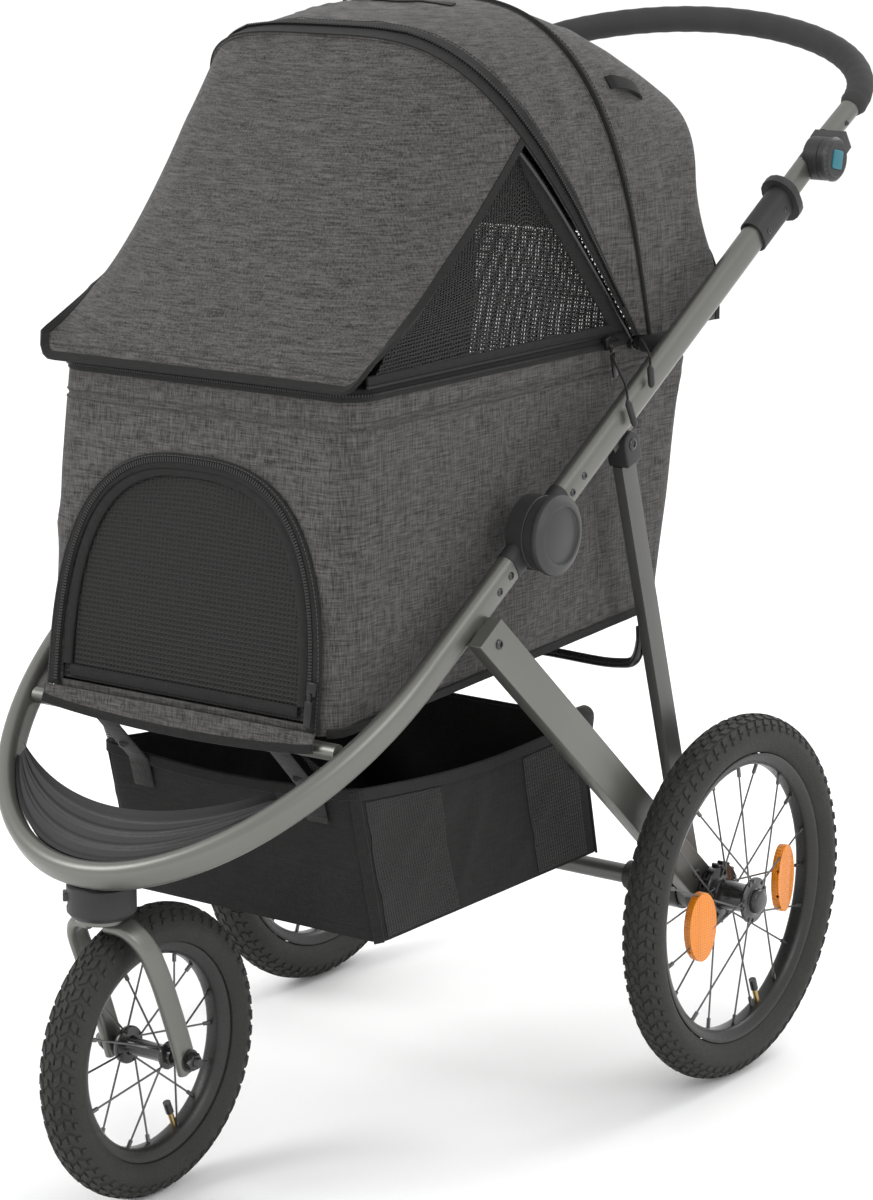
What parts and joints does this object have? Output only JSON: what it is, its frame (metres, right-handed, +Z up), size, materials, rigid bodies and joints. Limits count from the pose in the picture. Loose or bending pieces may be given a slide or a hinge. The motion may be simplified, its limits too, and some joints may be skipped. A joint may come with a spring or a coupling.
{
  "type": "pet stroller",
  "caption": "Three-wheeled folding pet stroller with a zipped fabric cabin, folding canopy, basket, swivel front wheel and tilting handle.",
  "frame": {"origin": "middle of the footprint's bounding box, on the ground", "axes": "+Z up; the stroller faces -Y, towards its front wheel; +X is the user's left"},
  "size_m": [0.64, 1.176, 1.1575],
  "materials": {
    "titanium": "satin metallic grey paint",
    "black_plastic": "fine moulded texture",
    "foam": "soft matte foam",
    "tyre": "matte with raised tread",
    "black_metal": "gloss black",
    "charcoal_cloth": "heathered canvas",
    "black_cloth": "plain weave",
    "mesh_cloth": "open mesh",
    "amber": "prismatic reflector",
    "teal": "satin"
  },
  "bodies": {
    "lower_frame": {"front_frame": "titanium", "crossbar": "titanium", "footrest_tray": "black_plastic", "steering_housing": "black_plastic", "cabin": "charcoal_cloth", "basket": "black_cloth", "hinge_lower_left": "black_plastic", "hinge_lower_right": "black_plastic"},
    "upper_frame": {"canopy_roof": "charcoal_cloth", "upper_rail_left": "titanium", "upper_rail_right": "titanium", "hinge_upper_left": "black_plastic", "hinge_upper_right": "black_plastic", "hinge_cap_left": "black_plastic", "hinge_cap_right": "black_plastic", "handle_stem_left": "titanium", "handle_stem_right": "titanium", "tilt_inner_left": "black_plastic", "tilt_inner_right": "black_plastic"},
    "axle_group": {"rear_axle": "titanium", "strut_left": "titanium", "strut_right": "titanium", "axle_housing_left": "black_plastic", "axle_housing_right": "black_plastic"},
    "rear_legs": {"leg_brace": "black_metal", "rear_leg_left": "titanium", "rear_leg_right": "titanium", "leg_cap_left": "black_plastic", "leg_cap_right": "black_plastic"},
    "collar_left": {"release_collar_left": "black_plastic"},
    "collar_right": {"release_collar_right": "black_plastic"},
    "handle": {"handlebar": "titanium", "handle_grip": "foam", "tilt_outer_left": "black_plastic", "tilt_outer_right": "black_plastic"},
    "button_left": {"tilt_button_left": "teal"},
    "button_right": {"tilt_button_right": "teal"},
    "canopy_front": {"canopy_bow": "black_metal", "canopy_shade": "charcoal_cloth", "side_window_left": "mesh_cloth", "side_window_right": "mesh_cloth"},
    "canopy_middle": {"canopy_hoop": "black_metal"},
    "fork_group": {"fork": "titanium", "front_axle": "black_metal"},
    "front_wheel": {"front_tyre": "tyre", "front_rim": "black_metal", "front_hub": "black_metal"},
    "lock_tab": {"swivel_lock": "black_plastic"},
    "rear_wheel_left": {"rear_tyre_left": "tyre", "rear_rim_left": "black_metal", "rear_hub_left": "black_metal", "reflector_front_left": "amber", "reflector_back_left": "amber"},
    "rear_wheel_right": {"rear_tyre_right": "tyre", "rear_rim_right": "black_metal", "rear_hub_right": "black_metal", "reflector_front_right": "amber", "reflector_back_right": "amber"},
    "brake": {"brake_pedal": "black_plastic"},
    "door": {"front_door": "mesh_cloth"}
  },
  "joints": [
    {"name": "frame_fold", "type": "hinge", "parent": "lower_frame", "child": "upper_frame", "pos_m": [0, -0.10895, 0.64468], "axis": [1, 0, 0], "range_deg": [-80, 0], "deforming": ["cabin", "basket", "canopy_roof", "canopy_shade", "side_window_left", "side_window_right"]},
    {"name": "strut_fold", "type": "hinge", "parent": "lower_frame", "child": "axle_group", "pos_m": [0, -0.2083, 0.55842], "axis": [1, 0, 0], "range_deg": [-51.8, 0]},
    {"name": "leg_fold", "type": "hinge", "parent": "axle_group", "child": "rear_legs", "pos_m": [0, 0.19602, 0.1995], "axis": [1, 0, 0], "range_deg": [0, 10.6]},
    {"name": "collar_slide_left", "type": "slide", "parent": "upper_frame", "child": "collar_left", "axis": [0.0332, 0.8288, 0.5586], "range_m": [0, 0.018], "stiffness_N_per_m": 300, "springref_m": -0.01},
    {"name": "collar_slide_right", "type": "slide", "parent": "upper_frame", "child": "collar_right", "axis": [-0.0332, 0.8288, 0.5586], "range_m": [0, 0.018], "stiffness_N_per_m": 300, "springref_m": -0.01},
    {"name": "handle_tilt", "type": "hinge", "parent": "upper_frame", "child": "handle", "pos_m": [0, 0.38312, 0.97633], "axis": [1, 0, 0], "range_deg": [-90, 60]},
    {"name": "button_push_left", "type": "slide", "parent": "handle", "child": "button_left", "axis": [-1, 0, 0], "range_m": [0, 0.002], "stiffness_N_per_m": 600, "springref_m": -0.002},
    {"name": "button_push_right", "type": "slide", "parent": "handle", "child": "button_right", "axis": [1, 0, 0], "range_m": [0, 0.002], "stiffness_N_per_m": 600, "springref_m": -0.002},
    {"name": "bow_fold", "type": "hinge", "parent": "upper_frame", "child": "canopy_front", "pos_m": [0, 0.12606, 0.80307], "axis": [1, 0, 0], "range_deg": [-50, 0], "deforming": ["canopy_roof", "canopy_shade", "side_window_left", "side_window_right"]},
    {"name": "hoop_fold", "type": "hinge", "parent": "upper_frame", "child": "canopy_middle", "pos_m": [0, 0.12606, 0.80307], "axis": [1, 0, 0], "range_deg": [-35, 0]},
    {"name": "fork_swivel", "type": "hinge", "parent": "lower_frame", "child": "fork_group", "pos_m": [0, -0.50398, 0.306], "axis": [0, 0, 1], "continuous": true},
    {"name": "front_wheel_spin", "type": "hinge", "parent": "fork_group", "child": "front_wheel", "pos_m": [0, -0.43898, 0.149], "axis": [1, 0, 0], "continuous": true},
    {"name": "lock_slide", "type": "slide", "parent": "lower_frame", "child": "lock_tab", "axis": [0, 0, -1], "range_m": [0, 0.006]},
    {"name": "rear_wheel_spin_left", "type": "hinge", "parent": "axle_group", "child": "rear_wheel_left", "pos_m": [0.284, 0.19602, 0.1995], "axis": [1, 0, 0], "continuous": true},
    {"name": "rear_wheel_spin_right", "type": "hinge", "parent": "axle_group", "child": "rear_wheel_right", "pos_m": [-0.284, 0.19602, 0.1995], "axis": [1, 0, 0], "continuous": true},
    {"name": "brake_press", "type": "hinge", "parent": "axle_group", "child": "brake", "pos_m": [0, 0.19602, 0.1995], "axis": [1, 0, 0], "range_deg": [-25, 0]},
    {"name": "door_open", "type": "hinge", "parent": "lower_frame", "child": "door", "pos_m": [0, -0.38053, 0.4929], "axis": [1, 0, 0], "range_deg": [0, 80]}
  ],
  "couplings": [
    {"joint": "strut_fold", "follows": "frame_fold", "ratio": 0.646},
    {"joint": "leg_fold", "follows": "frame_fold", "ratio": -0.132},
    {"joint": "hoop_fold", "follows": "bow_fold", "ratio": 0.7}
  ]
}
